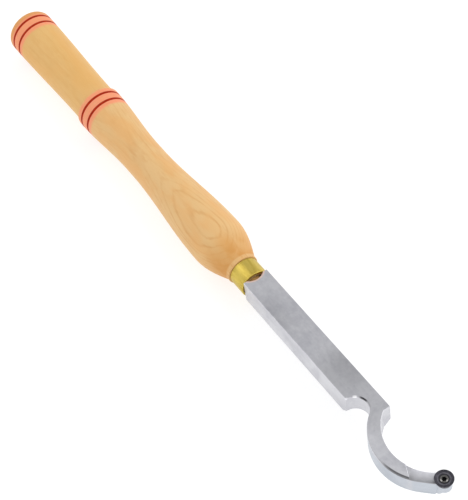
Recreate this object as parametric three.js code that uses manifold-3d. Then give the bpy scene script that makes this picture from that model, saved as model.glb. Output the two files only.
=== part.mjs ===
// A hollowing tool for wood turning: a turned wooden handle with a brass ferrule, and a square steel bar
// glued into it by a round tang. The bar's end is cut to a hook that carries a small round cutter.
// Sizes are in millimetres. X runs along the tool towards the cutter, and Z is up.
import * as THREE from "three";
import { mergeVertices } from "three/addons/utils/BufferGeometryUtils.js";
import Module from "manifold-3d";

const wasm = await Module();
wasm.setup();

// Handle
const handleLength = 252.5;
const buttRadius = 15.3;
const buttRounding = 3.6;
const gripRadius = 13.6;
const stepDistance = 90.5;
const stepRadius = 15.1;
const stepRounding = 1;
const waistDistance = 149;
const waistLength = 6;
const waistRadius = 12.3;
const bulbDistance = 225;
const bulbRadius = 16.7;
const collarStep = 0.8;
const collarLength = 2.7;
const collarRounding = 0.5;

// Turned grooves, filled with lacquer
const grooveWidth = 1.4;
const grooveDepth = 1.1;
const groovePitch = 6.8;
const buttGrooveDistance = 7.5;
const stepGrooveOffset = 4;
const lacquerHeight = 0.5;
const lacquerDrop = 0.3;

// Ferrule
const ferruleLength = 12.5;
const ferruleWall = 1.3;
const ferruleRounding = 0.5;
const tenonWall = 1.4;
const tenonShortfall = 1;

// Tang, in its bed of glue
const tangRadius = 5;
const tangLength = 106;
const tangPoint = 3;
const glueWall = 0.6;
const fitGap = 0.3;
const boreClearance = 2;

// Bar
const barStart = 0.7;
const frontX = 116;
const barWidth = 16;
const barHeight = 16;
const rearHollowRadius = 8;
const rearHollowDepth = 2.3;

// Hook, seen from above: the space between two circles, and a hollow between the bar and the hook
const outerRadius = 32;
const hookSetback = 9.6;
const hookDrop = 8.3;
const hookWidth = 7.7;
const innerShiftX = 0.7;
const innerShiftY = 3.6;
const hollowRadius = 8.2;
const hollowStandoff = 0.3;
const underChamfer = 4;
const sideChamferLength = 23;

// Cutter's pad at the end of the hook, and the seat cut into its top
const padTurnDegrees = -23.3;
const padRadius = 4.3;
const padThickness = 5.2;
const runOutDegrees = 22;
const runOutRadius = 2.4;
const seatDepth = 0.9;
const seatLength = 17;
const seatReach = 18;
const seatTurnDegrees = -24;
const reliefTurnDegrees = 54;
const reliefFlat = 1.1;
const reliefRun = 6.4;

// Cutter
const cutterRadius = 5.3;
const cutterFootRadius = 4.5;
const cutterHeight = 2.2;
const cutterLand = 0.55;
const cutterRamp = 0.4;
const cutterDish = 0.3;
const cutterHoleGap = 0.35;
const sinkRadius = 2.7;
const sinkDepth = 0.9;
const runningGap = 0.1;

// Cutter screw
const screwRadius = 1.45;
const screwGap = 0.3;
const headGap = 0.15;
const headRimHeight = 0.25;
const socketRadius = 1.25;
const socketDepth = 0.9;
const socketLobes = 6;
const socketLobeShare = 0.16;

// How finely round shapes are cut, and how far a cut runs past what it cuts
const overrun = 4;
const turnedSides = 48;
const smallSides = 36;
const hookSides = 96;
const easeSteps = 9;
const roundSteps = 4;
const socketSteps = 36;

const fullTurn = 2 * Math.PI;
const halfTurn = fullTurn / 2;
const quarterTurn = fullTurn / 4;
const radians = (degrees) => THREE.MathUtils.degToRad(degrees);
const point = (x, y) => new THREE.Vector2(x, y);

// Places along the tool, with zero at the ferrule's front end
const shoulderX = -ferruleLength;
const buttX = shoulderX - handleLength;
const stepX = buttX + stepDistance;
const waistX = buttX + waistDistance;
const bulbX = buttX + bulbDistance;
const collarX = shoulderX - collarLength;
const tenonEndX = -tenonShortfall;
const boreEndX = -tangLength - boreClearance;

// Radii from the tang out to the collar, each fitted over the one inside it
const glueInner = tangRadius + fitGap;
const glueOuter = glueInner + glueWall;
const boreRadius = glueOuter + fitGap;
const tenonRadius = boreRadius + tenonWall;
const ferruleInner = tenonRadius + fitGap;
const ferruleRadius = ferruleInner + ferruleWall;
const collarRadius = ferruleRadius + collarStep;

// Heights and half widths
const halfBar = barWidth / 2;
const barTop = barHeight / 2;
const belowBar = -barTop - overrun;
const aboveBar = barTop + overrun;
const seatZ = barTop - seatDepth;
const padBottomZ = seatZ - padThickness;
const cutterFootZ = seatZ + runningGap;
const cutterTopZ = cutterFootZ + cutterHeight;
const dishFloorZ = cutterTopZ - cutterDish;
const cutterHoleRadius = screwRadius + cutterHoleGap;
const screwHoleRadius = screwRadius + screwGap;

// Centres of the hook's circles, the hollow and the cutter
const outerCentre = point(frontX - hookSetback + outerRadius, outerRadius - halfBar - hookDrop);
const innerCentre = outerCentre.clone().add(point(innerShiftX, innerShiftY));
const innerRadius = outerRadius - hookWidth + innerShiftY;
const hollowReach = outerRadius + hollowRadius;
const hollowRise = outerCentre.y + halfBar + hollowStandoff;
const hollowX = outerCentre.x - Math.sqrt(hollowReach ** 2 - hollowRise ** 2);
const hollowCentre = point(hollowX, -halfBar - hollowStandoff);
const padTurn = radians(padTurnDegrees);
const padCentre = point(outerRadius, 0).rotateAround(point(0, 0), padTurn).add(outerCentre);

// Where the hook's outer wall leaves its circle and runs straight out to the pad
const runOutTurn = padTurn - radians(runOutDegrees);
const runOutReach = outerRadius - runOutRadius;
const runOutCentre = point(runOutReach, 0).rotateAround(point(0, 0), runOutTurn).add(outerCentre);

function material(color, roughness, metalness) {
  return new THREE.MeshStandardMaterial({ color, roughness, metalness });
}

const wood = material(0xd8ae74, 0.5, 0);
const lacquer = material(0x8c1f1a, 0.45, 0);
const brass = material(0xd2b24c, 0.3, 1);
const glue = material(0xcdbf8a, 0.6, 0);
const steel = material(0xb4b4b8, 0.38, 1);
const carbide = material(0x3c3b42, 0.4, 0.8);
const screwSteel = material(0x8d8a86, 0.35, 1);

// A closed solid from any three.js geometry, with its shared corners merged.
function solidOf(geometry) {
  const bare = new THREE.BufferGeometry();
  bare.setAttribute("position", geometry.getAttribute("position"));
  const corners = geometry.getAttribute("position").count;
  bare.setIndex(geometry.index ?? [...Array(corners).keys()]);
  const merged = mergeVertices(bare);
  const index = merged.index.array;
  const triangles = [];
  for (let i = 0; i < index.length; i += 3) {
    const [a, b, c] = [index[i], index[i + 1], index[i + 2]];
    if (a !== b && b !== c && c !== a) {
      triangles.push(a, b, c);
    }
  }
  const vertProperties = new Float32Array(merged.getAttribute("position").array);
  const triVerts = new Uint32Array(triangles);
  return new wasm.Manifold(new wasm.Mesh({ numProp: 3, vertProperties, triVerts }));
}

function named(name, solid, finish) {
  const { vertProperties, triVerts } = solid.getMesh();
  const geometry = new THREE.BufferGeometry();
  geometry.setAttribute("position", new THREE.BufferAttribute(new Float32Array(vertProperties), 3));
  geometry.setIndex(new THREE.BufferAttribute(new Uint32Array(triVerts), 1));
  geometry.computeVertexNormals();
  const mesh = new THREE.Mesh(geometry, finish);
  mesh.name = name;
  return mesh;
}

// A turned solid about the tool's own axis: points hold the distance along X and the radius.
function turned(points) {
  const profile = points.map(([along, radius]) => point(radius, along));
  return solidOf(new THREE.LatheGeometry(profile, turnedSides).rotateZ(-quarterTurn));
}

// A turned solid about an upright axis: points hold the height and the radius.
function turnedUpright(centre, points, sides) {
  const profile = points.map(([height, radius]) => point(radius, height));
  const geometry = new THREE.LatheGeometry(profile, sides).rotateX(quarterTurn);
  return solidOf(geometry.translate(centre.x, centre.y, 0));
}

// An upright disc, with a chamfer round its bottom.
function disc(centre, radius, bottom, top, chamfer = 0) {
  return turnedUpright(centre, [
    [bottom, 0],
    [bottom, radius - chamfer],
    [bottom + chamfer, radius],
    [top, radius],
    [top, 0],
  ], hookSides);
}

// A block between two values on each axis.
function block([fromX, toX], [fromY, toY], [fromZ, toZ]) {
  const geometry = new THREE.BoxGeometry(toX - fromX, toY - fromY, toZ - fromZ);
  return geometry.translate((fromX + toX) / 2, (fromY + toY) / 2, (fromZ + toZ) / 2);
}

// A prism on an outline seen from the side, as wide to the left as to the right.
function crossPrism(outline, halfWidth) {
  const shape = new THREE.Shape(outline);
  const geometry = new THREE.ExtrudeGeometry(shape, { depth: 2 * halfWidth, bevelEnabled: false });
  return geometry.rotateX(quarterTurn).translate(0, halfWidth, 0);
}

function arc(centre, radius, startAngle, endAngle, steps) {
  const points = [];
  for (let i = 0; i <= steps; i += 1) {
    const angle = THREE.MathUtils.lerp(startAngle, endAngle, i / steps);
    points.push(point(centre.x + radius * Math.cos(angle), centre.y + radius * Math.sin(angle)));
  }
  return points;
}

// Radii that ease from one to the next as a cosine does, without the last point.
function ease(fromX, fromRadius, toX, toRadius) {
  const points = [];
  for (let i = 0; i < easeSteps; i += 1) {
    const share = i / easeSteps;
    const blend = (1 - Math.cos(halfTurn * share)) / 2;
    points.push([
      THREE.MathUtils.lerp(fromX, toX, share),
      THREE.MathUtils.lerp(fromRadius, toRadius, blend),
    ]);
  }
  return points;
}

// The bulb's front, which falls to the collar as a quarter of a cosine.
function bulbFront() {
  const points = [];
  for (let i = 0; i < easeSteps; i += 1) {
    const share = i / easeSteps;
    points.push([
      THREE.MathUtils.lerp(bulbX, collarX, share),
      THREE.MathUtils.lerp(collarRadius, bulbRadius, Math.cos(quarterTurn * share)),
    ]);
  }
  return points;
}

// A quarter round, as distance along and radius, from facing one way to facing outwards or back.
function quarterRound(centreX, centreRadius, size, startAngle, endAngle) {
  return arc(point(centreX, centreRadius), size, startAngle, endAngle, roundSteps).map(({ x, y }) => [x, y]);
}

// The handle's outside, from the butt's axis to the tenon's end.
const bareOutside = [
  [buttX, 0],
  ...quarterRound(buttX + buttRounding, buttRadius - buttRounding, buttRounding, halfTurn, quarterTurn),
  ...ease(buttX + buttRounding, buttRadius, stepX - stepRounding, gripRadius),
  [stepX - stepRounding, gripRadius],
  ...quarterRound(stepX, stepRadius - stepRounding, stepRounding, halfTurn, quarterTurn),
  ...ease(stepX + stepRounding, stepRadius, waistX - waistLength, waistRadius),
  ...ease(waistX, waistRadius, bulbX, bulbRadius),
  ...bulbFront(),
  [collarX, collarRadius],
  [shoulderX - collarRounding, collarRadius],
  [shoulderX, collarRadius - collarRounding],
];

function radiusAt(x) {
  const next = bareOutside.findIndex(([along], i) => i > roundSteps && along > x);
  const [fromX, fromRadius] = bareOutside[next - 1];
  const [toX, toRadius] = bareOutside[next];
  return THREE.MathUtils.mapLinear(x, fromX, toX, fromRadius, toRadius);
}

const grooves = [
  ["red_ring_butt_rear", buttX + buttGrooveDistance],
  ["red_ring_butt_front", buttX + buttGrooveDistance + groovePitch],
  ["red_ring_step_rear", stepX + stepGrooveOffset],
  ["red_ring_step_front", stepX + stepGrooveOffset + groovePitch],
];

// A square-sided ring about the tool's axis.
function band(fromX, toX, inside, outside) {
  return turned([
    [fromX, inside],
    [fromX, outside],
    [toX, outside],
    [toX, inside],
    [fromX, inside],
  ]);
}

function handle() {
  const blank = turned([
    ...bareOutside,
    [shoulderX, tenonRadius],
    [tenonEndX, tenonRadius],
    [tenonEndX, boreRadius],
    [boreEndX, boreRadius],
    [boreEndX - tangPoint, 0],
  ]);
  return grooves.reduce((body, [, x]) => {
    const floor = radiusAt(x) - grooveDepth;
    return body.subtract(band(x - grooveWidth / 2, x + grooveWidth / 2, floor, bulbRadius + overrun));
  }, blank);
}

function lacquerRing(x) {
  const top = radiusAt(x) - lacquerDrop;
  return band(x - grooveWidth / 2, x + grooveWidth / 2, top - lacquerHeight, top);
}

function ferrule() {
  const edge = ferruleRadius - ferruleRounding;
  return turned([
    [shoulderX, ferruleInner],
    ...quarterRound(shoulderX + ferruleRounding, edge, ferruleRounding, halfTurn, quarterTurn),
    ...quarterRound(-ferruleRounding, edge, ferruleRounding, quarterTurn, 0),
    [0, ferruleInner],
    [shoulderX, ferruleInner],
  ]);
}

function glueBed() {
  return band(-tangLength, tenonEndX, glueInner, glueOuter);
}

const cutInner = () => disc(innerCentre, innerRadius, belowBar, aboveBar);

// The hook's bend: the space between the two circles, from the bar round to the pad's centre.
function bend() {
  const onwards = point(-Math.sin(padTurn), Math.cos(padTurn));
  return disc(outerCentre, outerRadius, -barTop, barTop, underChamfer)
    .subtract(cutInner())
    .trimByPlane([0, -1, 0], -halfBar)
    .trimByPlane([-onwards.x, -onwards.y, 0], -onwards.dot(outerCentre));
}

// What joins the bar to the bend.
function neck() {
  return solidOf(block([frontX - hookSetback, outerCentre.x], [-halfBar, halfBar], [-barTop, barTop]))
    .subtract(cutInner());
}

// The space beyond the hollow, on its side of the line from the hollow's centre to the outer circle's.
function clearing() {
  const lean = outerCentre.clone().sub(hollowCentre).normalize();
  const sides = [hollowCentre.y - overrun, outerCentre.y];
  return solidOf(block([hollowCentre.x, outerCentre.x], sides, [belowBar, aboveBar]))
    .trimByPlane([lean.y, -lean.x, 0], lean.y * hollowCentre.x - lean.x * hollowCentre.y);
}

// The hollow between the bar and the hook, which flares out over the chamfer.
function hollow() {
  return turnedUpright(hollowCentre, [
    [belowBar, 0],
    [belowBar, hollowRadius + underChamfer],
    [-barTop, hollowRadius + underChamfer],
    [underChamfer - barTop, hollowRadius],
    [aboveBar, hollowRadius],
    [aboveBar, 0],
  ], hookSides);
}

// The chamfer along the bottom of the bar's right side, up to its front.
function sideChamfer() {
  const half = underChamfer / Math.SQRT2;
  const geometry = block([frontX - sideChamferLength, frontX + overrun], [-half, half], [-half, half]);
  return solidOf(geometry.rotateX(halfTurn / 4).translate(0, halfBar, -barTop));
}

// The pad, with the straight run of the hook's outer wall out to it.
function pad() {
  const runOutBottom = underChamfer - barTop - runOutRadius;
  const runOut = [padCentre, runOutCentre].map((centre) => {
    return disc(centre, runOutRadius, runOutBottom, barTop, runOutRadius);
  });
  return disc(padCentre, padRadius, padBottomZ - reliefRun, barTop)
    .add(wasm.Manifold.hull(runOut));
}

// The pad is thinner than the hook, with a slope back to the hook's underside.
function padRelief() {
  const ahead = padRadius + overrun;
  const behind = -reliefFlat - reliefRun;
  const outline = [
    point(behind, belowBar),
    point(ahead, belowBar),
    point(ahead, padBottomZ),
    point(-reliefFlat, padBottomZ),
    point(behind, -barTop),
  ];
  const geometry = crossPrism(outline, hookWidth + overrun).rotateZ(radians(reliefTurnDegrees));
  return solidOf(geometry.translate(padCentre.x, padCentre.y, 0));
}

// The flat that the cutter sits on, from a slanting step to the hook's end.
function seatCut() {
  const geometry = block([-seatReach, seatReach], [-seatLength, padRadius + overrun], [seatZ, aboveBar]);
  geometry.rotateZ(radians(seatTurnDegrees));
  return solidOf(geometry.translate(padCentre.x, padCentre.y, 0));
}

// A shallow upright hollow in the bar's rear end, which the tang passes through.
function rearHollow() {
  const centre = point(barStart + rearHollowDepth - rearHollowRadius, 0);
  return disc(centre, rearHollowRadius, belowBar, aboveBar);
}

function toolBar() {
  const tang = turned([
    [-tangLength, 0],
    [-tangLength, tangRadius - fitGap],
    [-tangLength + fitGap, tangRadius],
    [barStart + rearHollowDepth + overrun, tangRadius],
    [barStart + rearHollowDepth + overrun, 0],
  ]);
  const screwHole = turnedUpright(padCentre, [
    [belowBar, 0],
    [belowBar, screwHoleRadius],
    [aboveBar, screwHoleRadius],
    [aboveBar, 0],
  ], smallSides);
  return solidOf(block([barStart, frontX], [-halfBar, halfBar], [-barTop, barTop]))
    .add(neck())
    .subtract(hollow())
    .subtract(clearing())
    .subtract(sideChamfer())
    .add(bend())
    .add(pad())
    .subtract(padRelief())
    .subtract(seatCut())
    .subtract(screwHole)
    .subtract(rearHollow())
    .add(tang);
}

function cutter() {
  return turnedUpright(padCentre, [
    [cutterFootZ, cutterHoleRadius],
    [cutterFootZ, cutterFootRadius],
    [cutterTopZ, cutterRadius],
    [cutterTopZ, cutterRadius - cutterLand],
    [dishFloorZ, cutterRadius - cutterLand - cutterRamp],
    [dishFloorZ, sinkRadius],
    [dishFloorZ - sinkDepth, cutterHoleRadius],
    [cutterFootZ, cutterHoleRadius],
  ], smallSides);
}

// A six-lobed key recess in the screw's head.
function socket() {
  const outline = [];
  for (let i = 0; i < socketSteps; i += 1) {
    const angle = (fullTurn * i) / socketSteps;
    const radius = socketRadius * (1 - socketLobeShare * (1 - Math.cos(socketLobes * angle)) / 2);
    outline.push(point(radius * Math.cos(angle), radius * Math.sin(angle)).add(padCentre));
  }
  const depth = socketDepth + overrun;
  const geometry = new THREE.ExtrudeGeometry(new THREE.Shape(outline), { depth, bevelEnabled: false });
  return solidOf(geometry.translate(0, 0, dishFloorZ - socketDepth));
}

function cutterScrew() {
  const sinkSlope = (sinkRadius - cutterHoleRadius) / sinkDepth;
  const headRadius = sinkRadius - sinkSlope * headRimHeight - headGap;
  const coneDepth = (headRadius - screwRadius) / sinkSlope;
  return turnedUpright(padCentre, [
    [padBottomZ, 0],
    [padBottomZ, screwRadius],
    [dishFloorZ - headRimHeight - coneDepth, screwRadius],
    [dishFloorZ - headRimHeight, headRadius],
    [dishFloorZ, headRadius],
    [dishFloorZ, 0],
  ], smallSides).subtract(socket());
}

const tool = new THREE.Group();
tool.add(named("handle", handle(), wood));
grooves.forEach(([name, x]) => tool.add(named(name, lacquerRing(x), lacquer)));
tool.add(named("ferrule", ferrule(), brass));
tool.add(named("tang_glue", glueBed(), glue));
tool.add(named("tool_bar", toolBar(), steel));
tool.add(named("cutter", cutter(), carbide));
tool.add(named("cutter_screw", cutterScrew(), screwSteel));

// The origin is under the middle of the tool, level with the lowest point of the bulb.
tool.position.set(-(buttX + padCentre.x + cutterRadius) / 2, 0, bulbRadius);
const part = new THREE.Group();
part.add(tool);
export default part;
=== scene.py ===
"""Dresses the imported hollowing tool: turned handle, brass ferrule, ground steel hook and round cutter.

Sizes are in metres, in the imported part's own frame: X runs along the tool towards the cutter, Z is up.
"""

import math

import bmesh
import bpy
from bpy.props import FloatProperty, FloatVectorProperty, IntProperty, PointerProperty
from mathutils import Euler, Matrix, Vector


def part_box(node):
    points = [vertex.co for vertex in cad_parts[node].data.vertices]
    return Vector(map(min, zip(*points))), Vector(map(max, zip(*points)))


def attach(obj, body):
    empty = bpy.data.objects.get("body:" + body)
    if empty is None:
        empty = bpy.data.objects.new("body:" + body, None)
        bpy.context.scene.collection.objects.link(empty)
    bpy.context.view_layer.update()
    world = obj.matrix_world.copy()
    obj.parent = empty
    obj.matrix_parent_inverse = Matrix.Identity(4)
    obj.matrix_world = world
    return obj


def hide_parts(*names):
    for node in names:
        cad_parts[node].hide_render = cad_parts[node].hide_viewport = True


bl_info = {
    "name": "Hollowing tool",
    "version": (1, 0, 0),
    "blender": (4, 5, 0),
    "location": "3D view > Sidebar > Hollowing tool",
    "description": "Builds the pieces of a hollowing tool on its packed frame",
    "category": "Object",
}

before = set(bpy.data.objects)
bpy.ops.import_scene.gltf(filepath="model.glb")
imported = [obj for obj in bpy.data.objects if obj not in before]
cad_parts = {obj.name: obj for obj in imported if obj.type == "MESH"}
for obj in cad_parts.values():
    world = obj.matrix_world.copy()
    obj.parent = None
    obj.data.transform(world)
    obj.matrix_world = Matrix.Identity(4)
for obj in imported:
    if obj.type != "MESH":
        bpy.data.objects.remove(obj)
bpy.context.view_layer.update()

HANDLE_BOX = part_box("handle")
FERRULE_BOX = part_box("ferrule")
CUTTER_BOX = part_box("cutter")
SCREW_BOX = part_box("cutter_screw")

MM = 0.001
QUARTER = math.pi / 2
TURN = 2 * math.pi

# How far the handle stays inside the CAD's own surface
HAIR = 1e-6

# The tool's own axis, with zero at the ferrule's front end, and the upright axis of the cutter
FRONT_X = FERRULE_BOX[1].x
AXIS_Z = (FERRULE_BOX[0].z + FERRULE_BOX[1].z) / 2
ORIGIN = Vector((FRONT_X, 0, AXIS_Z))
BUTT_X = HANDLE_BOX[0].x - FRONT_X + HAIR
BULB_RADIUS = (HANDLE_BOX[1].z - HANDLE_BOX[0].z) / 2 - HAIR
SHOULDER_X = FERRULE_BOX[0].x - FRONT_X
FERRULE_RADIUS = (FERRULE_BOX[1].z - FERRULE_BOX[0].z) / 2
CUTTER_CENTRE = (CUTTER_BOX[0] + CUTTER_BOX[1]) / 2
CUTTER_OFFSET = CUTTER_CENTRE - ORIGIN
CUTTER_RADIUS = (CUTTER_BOX[1].x - CUTTER_BOX[0].x) / 2

# Where the hook starts, its centre and its outer radius, and the centres of the notch before it and
# of the hollow behind the bar. Each centre is along and across from ORIGIN.
HOOK_START = 92 * MM
HOOK_CENTRE = (138.4 * MM, 15.7 * MM)
HOOK_REACH = 32 * MM
NOTCH_CENTRE = (106.15 * MM, -8.3 * MM)
HOLLOW_CENTRE = (-5 * MM, 0.0)

# The heart of the tree, across and up from the tool's axis: well below the handle and to one side
HEART = (16.9 * MM, -49.192 * MM)

# Facets round each turned solid
HANDLE_FACETS = 144
CUTTER_FACETS = 120
SCREW_FACETS = 72

MAIN_LIGHT_PLACE = (-0.66, -0.42, 1.02)
MAIN_LIGHT_SIDES = (0.8, 1.3)
FILL_LIGHT_PLACE = (0.5, 1.0, 1.2)
FILL_LIGHT_SIDES = (1.2, 1.2)

# The sky's light as shares of its strength, and the height of view from which it stays the same
HORIZON_SHARE = 1.45
OVERHEAD_SHARE = 0.82
OVERHEAD_FROM = 0.8
SKY_COLOUR = (0.985, 0.99, 1, 1)

# A Mix node's inputs for its share and its two colours, and its output for the colour
MIX_INPUTS = (0, 6, 7)
MIX_OUTPUT = 2


def length(name, description, default):
    """A size that is kept in metres."""
    return FloatProperty(
        name=name, description=description, default=default, min=0, unit="LENGTH", precision=4
    )


def colour(name, description, default):
    """A linear colour."""
    return FloatVectorProperty(
        name=name, description=description, default=(*default, 1), size=4, min=0, max=1, subtype="COLOR"
    )


def strength(name, description, default, unit="NONE"):
    """How strong a light is."""
    return FloatProperty(name=name, description=description, default=default, min=0, unit=unit)


class HandleSizes(bpy.types.PropertyGroup):
    """Sizes and colours of the turned handle and its lacquered grooves."""

    butt_radius: length("Butt radius", "Radius at the butt end", 15.3 * MM)
    butt_rounding: length("Butt rounding", "Rounding of the butt end's edge", 3.6 * MM)
    grip_radius: length("Grip radius", "Radius just behind the step", 13.6 * MM)
    step_distance: length("Step distance", "From the butt end to the step", 90.5 * MM)
    step_radius: length("Step radius", "Radius just after the step", 15.1 * MM)
    step_rounding: length("Step rounding", "Rounding of the step's edge", 1 * MM)
    waist_distance: length("Waist distance", "From the butt end to the waist", 149 * MM)
    waist_length: length("Waist length", "Straight length of the waist", 6 * MM)
    waist_radius: length("Waist radius", "Radius of the waist", 12.3 * MM)
    bulb_distance: length("Bulb distance", "From the butt end to the widest place", 225 * MM)
    bulb_radius: length("Bulb radius", "Radius at the widest place", BULB_RADIUS)
    collar_length: length("Collar length", "Length of the collar behind the ferrule", 2.7 * MM)
    collar_step: length("Collar step", "How far the collar stands above the ferrule", 0.8 * MM)
    collar_rounding: length("Collar rounding", "Rounding of the collar's edge", 0.5 * MM)
    groove_width: length("Groove width", "Width of each groove", 1.4 * MM)
    groove_depth: length("Groove depth", "Depth of each groove", 1.1 * MM)
    groove_pitch: length("Groove pitch", "Between the two grooves of a pair", 6.8 * MM)
    groove_lip: length("Groove lip", "Rounding of the groove's edges", 0.22 * MM)
    butt_groove: length("Butt groove", "From the butt end to the first groove", 7.5 * MM)
    step_groove: length("Step groove", "From the step to the third groove", 4 * MM)
    lacquer_drop: length("Lacquer drop", "From the wood's surface down to the lacquer", 0.3 * MM)
    lacquer_height: length("Lacquer height", "Thickness of the lacquer", 0.5 * MM)
    bore_radius: length("Bore radius", "Radius of the bore for the tang", 6.2 * MM)
    tenon_radius: length("Tenon radius", "Radius of the end inside the ferrule", 7.6 * MM)
    bore_depth: length("Bore depth", "From the ferrule's front to the bore's end", 108 * MM)
    grain_spacing: length("Ring spacing", "Between two growth rings", 1.55 * MM)
    light_wood: colour("Light wood", "Pale early wood", (0.77, 0.492, 0.218))
    dark_wood: colour("Dark wood", "Darker late wood", (0.665, 0.335, 0.108))
    warm_wood: colour("Warm wood", "Faintly redder places in the wood", (0.79, 0.43, 0.155))
    grip_wood: colour("Grip wood", "Yellower wood at the grip", (0.75, 0.435, 0.122))
    ripe_wood: colour("Ripe wood", "Warmer wood towards the ferrule", (0.66, 0.315, 0.083))
    stained_wood: colour("Stained wood", "Wood tinted beside the grooves", (0.91, 0.287, 0.155))
    lacquer: colour("Lacquer", "Dark red lacquer in the grooves", (0.36, 0.018, 0.002))


class FerruleSizes(bpy.types.PropertyGroup):
    """Sizes and colours of the brass ferrule and the glue inside the handle."""

    rounding: length("Rounding", "Rounding of the ferrule's edges", 0.45 * MM)
    wall: length("Wall", "Thickness of the tube", 1.3 * MM)
    line_inset: length("Line inset", "From each end to its fine turned line", 1.3 * MM)
    line_width: length("Line width", "Width of each fine turned line", 0.26 * MM)
    line_depth: length("Line depth", "Depth of each fine turned line", 0.1 * MM)
    brass: colour("Brass", "Polished brass", (0.69, 0.525, 0.115))
    dull_brass: colour("Dull brass", "Brass where it has dulled", (0.45, 0.325, 0.05))
    glue: colour("Glue", "Cured glue", (0.60, 0.52, 0.30))


class BarSizes(bpy.types.PropertyGroup):
    """Edges and colours of the ground steel bar."""

    edge: length("Edge", "Width of the broken edges", 0.18 * MM)
    bright_steel: colour("Bright steel", "Freshly ground steel", (0.66, 0.66, 0.69))
    dull_steel: colour("Dull steel", "Handled steel", (0.50, 0.50, 0.54))
    # Painted reflection: the bluer colour of the hook's outer wall
    wall_reflection_steel: colour("Cool steel", "The hook's outer wall", (0.44, 0.50, 0.57))
    # Painted shade: the darker colour low on that wall
    low_wall_shade_steel: colour("Cold steel", "The lower part of that wall", (0.38, 0.43, 0.47))
    # The brown painted inside the hollow behind the bar
    hollow_brown: colour("Browned", "Old varnish in the hollow behind the bar", (0.62, 0.38, 0.14))
    # Painted reflection: the colour of the brass that the hollow's edge reflects
    brass_reflection: colour("Lit edge", "The hollow's edge, where it reflects the brass", (0.95, 0.69, 0.58))


class CutterSizes(bpy.types.PropertyGroup):
    """Sizes and colours of the round cutter and its screw."""

    foot_radius: length("Foot radius", "Radius of the cutter's underside", 4.5 * MM)
    land: length("Land", "Width of the flat ring inside the cutting edge", 0.55 * MM)
    ramp: length("Ramp", "Width of the slope inside the flat ring", 0.4 * MM)
    dish: length("Dish", "Depth of the dished top", 0.3 * MM)
    sink_radius: length("Sink radius", "Radius of the countersink", 2.7 * MM)
    sink_depth: length("Sink depth", "Depth of the countersink", 0.9 * MM)
    hole_radius: length("Hole radius", "Radius of the cutter's hole", 1.8 * MM)
    shank_radius: length("Shank radius", "Radius of the screw's shank", 1.45 * MM)
    thread_depth: length("Thread depth", "Depth of the screw's thread", 0.2 * MM)
    thread_pitch: length("Thread pitch", "Between two turns of the thread", 0.5 * MM)
    recess_radius: length("Recess radius", "Radius of the star recess", 1.4 * MM)
    recess_depth: length("Recess depth", "Depth of the star recess", 0.9 * MM)
    lobes: IntProperty(name="Lobes", description="Points of the star recess", default=6, min=3, max=8)
    carbide: colour("Carbide", "Sintered carbide", (0.046, 0.044, 0.055))
    # Painted highlight and ground carbide: the lighter colour of the ring on the top and of the rim
    ground_and_highlight_carbide: colour("Ground carbide", "Carbide where it is ground", (0.20, 0.195, 0.22))
    screw: colour("Screw", "Screw steel", (0.13, 0.125, 0.12))
    # Painted shade: the near-black colour inside the star recess
    recess: colour("Recess", "Blackened inside of the recess", (0.006, 0.006, 0.006))


class StageSettings(bpy.types.PropertyGroup):
    """Floor, lights and camera."""

    floor_size: length("Floor size", "Half the side of the floor", 6.0)
    floor: colour("Floor", "Pale floor", (0.4, 0.4, 0.4))
    sky: strength("Sky", "Strength of the light from all round", 0.74)
    main_light: strength("Main light", "Power of the softbox behind the tool", 3, "POWER")
    fill_light: strength("Fill light", "Power of the softbox on the right", 9.5, "POWER")
    glow: strength("Glow", "Light that the floor gives of itself", 0.71)
    camera_place: FloatVectorProperty(
        name="Camera place",
        description="Where the camera stands",
        default=(0.538225, -0.25387, 0.76696),
        subtype="XYZ",
        unit="LENGTH",
    )
    camera_turn: FloatVectorProperty(
        name="Camera turn",
        description="The camera's turns about X, Y and Z",
        default=(math.radians(37.328), math.radians(5.924), math.radians(55.935)),
        subtype="EULER",
        unit="ROTATION",
    )
    camera_lens: FloatProperty(
        name="Camera lens", description="Focal length", default=117.48, min=1, unit="CAMERA"
    )


class HollowingToolSettings(bpy.types.PropertyGroup):
    """All that a user would change."""

    handle: PointerProperty(type=HandleSizes)
    ferrule: PointerProperty(type=FerruleSizes)
    bar: PointerProperty(type=BarSizes)
    cutter: PointerProperty(type=CutterSizes)
    stage: PointerProperty(type=StageSettings)


class Wire:
    """One output of a material's nodes. Sums and products of wires and numbers add their Math nodes."""

    def __init__(self, finish, socket):
        self.finish = finish
        self.socket = socket

    def math(self, operation, *terms):
        """Another Math node on these terms."""
        return self.finish.node("ShaderNodeMath", {"operation": operation}, dict(enumerate(terms)))

    def __add__(self, other):
        return self.math("ADD", self, other)

    def __radd__(self, other):
        return self.math("ADD", other, self)

    def __sub__(self, other):
        return self.math("SUBTRACT", self, other)

    def __rsub__(self, other):
        return self.math("SUBTRACT", other, self)

    def __mul__(self, other):
        return self.math("MULTIPLY", self, other)

    def __rmul__(self, other):
        return self.math("MULTIPLY", other, self)

    def __truediv__(self, other):
        return self.math("DIVIDE", self, other)

    def __pow__(self, other):
        return self.math("POWER", self, other)

    def sine(self):
        return self.math("SINE", self)

    def size(self):
        return self.math("ABSOLUTE", self)

    def root(self):
        return self.math("SQRT", self)

    def most(self, other):
        """The larger of two values."""
        return self.math("MAXIMUM", self, other)

    def bearing(self, ahead):
        """The angle to a point that lies this far to the side and so far ahead."""
        return self.math("ARCTAN2", self, ahead)


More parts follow.
